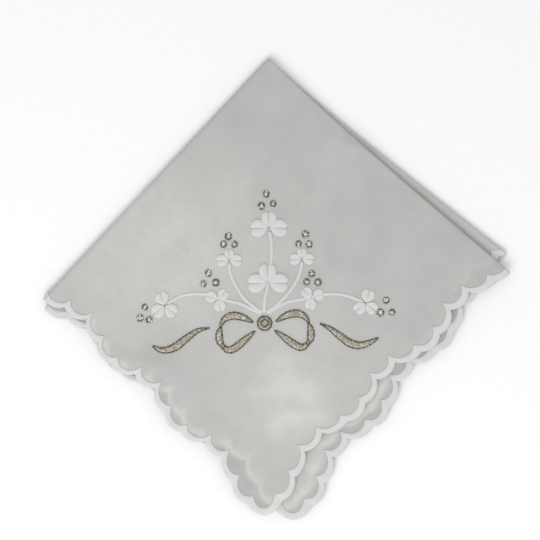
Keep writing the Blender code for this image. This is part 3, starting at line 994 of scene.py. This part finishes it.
def ribbon(width, peak, points):
    """One strip of ribbon: its satin filling, and the metallic threads along its two sides."""
    line, run = smooth_line(in_spray(points, BOW_TURN), RIBBON_STEP)
    half = width / 2 * MM * taper(run / run[-1], peak)
    filling = stitched_strip(line, run, half, RIBBON_HEIGHT)
    outlines = []
    for edge_side in (-1, 1):
        rim = line + normals_of(line) * (edge_side * half)[:, None]
        outlines.append(laid_thread(rim, run))
    return filling, outlines


def laid_thread(line, run):
    """A metallic thread laid on the cloth: a round strip whose width beads along its twist."""
    beads = 1 + BEAD_SHARE * sum(np.sin(2 * np.pi * run / length) for length in BEAD_LENGTHS)
    radius = OUTLINE_RADIUS * beads * blunt(run, OUTLINE_RADIUS)
    return stitched_strip(line, run, radius, OUTLINE_HEIGHT, round_steps=8)


def ring_line(radius):
    """A closed ring round the knot, as a line whose ends meet."""
    angle = np.linspace(0, 2 * np.pi, RING_POINTS)
    line = np.stack([np.cos(angle), np.sin(angle)], axis=-1) * radius + KNOT
    return line, angle * radius


def knot_filling():
    """The domed middle of the knot: a flat dome turned about its middle."""
    share, height = np.array(KNOT_PROFILE).T
    angle = np.linspace(0, 2 * np.pi, KNOT_STEPS, endpoint=False)[None, :]
    reach = KNOT_RADIUS * share[:, None]
    flat = np.stack([reach * np.cos(angle), reach * np.sin(angle)], axis=-1) + KNOT
    up = cloth_top(flat[..., 0], flat[..., 1]) + height[:, None] * MM
    turn = np.linspace(0, 2 * math.pi * KNOT_RADIUS, KNOT_STEPS + 1)
    uv = np.stack(np.meshgrid(share * KNOT_RADIUS, turn, indexing="ij"), axis=-1)
    return np.concatenate([flat, up[..., None]], axis=-1), uv


fillings, outlines = [knot_filling()], []
strips = list(TAILS)
for width, peak, points in PAIRED_STRIPS:
    strips += [(width, peak, points), (width, peak, mirrored(points))]
for strip in strips:
    filling, rims = ribbon(*strip)
    fillings.append(filling)
    outlines += rims
for radius, lift in KNOT_RINGS:
    ring, uv = laid_thread(*ring_line(radius))
    outlines.append((ring + (0, 0, lift), uv))
ribbon_satin = metallic_thread("champagne_ribbon_stitch", "#c8c4b6", "#87816f", 1.3, 0.12, 0.6)
outline_thread = metallic_thread("dark_metallic_thread", "#aaa393", "#524d41", 1.5, 0.28, 0.38)
joined("ribbon_filling", fillings, ribbon_satin)
joined("ribbon_outline", outlines, outline_thread)


# The floor, the light and the camera
# A plain white floor, an even white surround, and the camera straight above the cloth, as in the
# photograph. One large soft lamp stands past the foot of the picture, a little to the left.
FLOOR_SIZE = 6.0
CAMERA_HEIGHT = 1.6
FRAME_WIDTH = 0.2376
SENSOR_WIDTH = 36.0
AIM_FROM_TOP_CORNER = np.array((0.66, -93.94)) * MM
LAMP_PLACE = (-0.22, -0.58, 0.80)
LAMP_SIZE = 0.7
LAMP_POWER = 4.8
SURROUND_STRENGTH = 0.76


def floor_paint():
    """Matt white paint on a smooth board, with a faint unevenness from the roller."""
    material, tree, shader = surface("matt_white_board", {"Roughness": 0.9, "Specular IOR Level": 0.1})
    place = add(tree, "TexCoord")["Object"]
    roller = add(tree, "TexNoise", {"Vector": place, "Scale": 0.3 / MM, "Detail": 2.0})["Fac"]
    colour = add(tree, "Mix", {0: roller, 6: linear("#f4f4f4"), 7: linear("#f8f8f8")}, data_type="RGBA")[2]
    tree.links.new(colour, shader.inputs["Base Color"])
    return material


def floor():
    """A flat square that lies just under the cloth."""
    half = FLOOR_SIZE / 2
    mesh = bpy.data.meshes.new("floor")
    low = float(node_low[2])
    corners = [(-half, -half, low), (half, -half, low), (half, half, low), (-half, half, low)]
    mesh.from_pydata(corners, [], [(0, 1, 2, 3)])
    mesh.materials.append(floor_paint())
    made = bpy.data.objects.new("floor", mesh)
    bpy.context.scene.collection.objects.link(made)


def light():
    """An even white surround, and the one soft lamp turned towards the middle of the cloth."""
    world = bpy.data.worlds.new("studio")
    world.use_nodes = True
    surround = world.node_tree.nodes["Background"]
    surround.inputs["Color"].default_value = linear("#ffffff")
    surround.inputs["Strength"].default_value = SURROUND_STRENGTH
    bpy.context.scene.world = world
    lamp = bpy.data.lights.new("soft_lamp", "AREA")
    lamp.size = LAMP_SIZE
    lamp.energy = LAMP_POWER
    made = bpy.data.objects.new("soft_lamp", lamp)
    made.location = LAMP_PLACE
    made.rotation_euler = (-made.location).to_track_quat("-Z", "Y").to_euler()
    bpy.context.scene.collection.objects.link(made)


def camera():
    """The camera straight above its aim, with the lens that gives the photograph's frame there."""
    lens = bpy.data.cameras.new("camera")
    lens.sensor_width = SENSOR_WIDTH
    lens.lens = SENSOR_WIDTH * CAMERA_HEIGHT / FRAME_WIDTH
    made = bpy.data.objects.new("camera", lens)
    aim = TOP_CORNER + AIM_FROM_TOP_CORNER + SETTLE[:2]
    made.location = (float(aim[0]), float(aim[1]), CAMERA_HEIGHT)
    bpy.context.scene.collection.objects.link(made)
    bpy.context.scene.camera = made


floor()
light()
camera()
bpy.context.scene.view_settings.view_transform = "Standard"
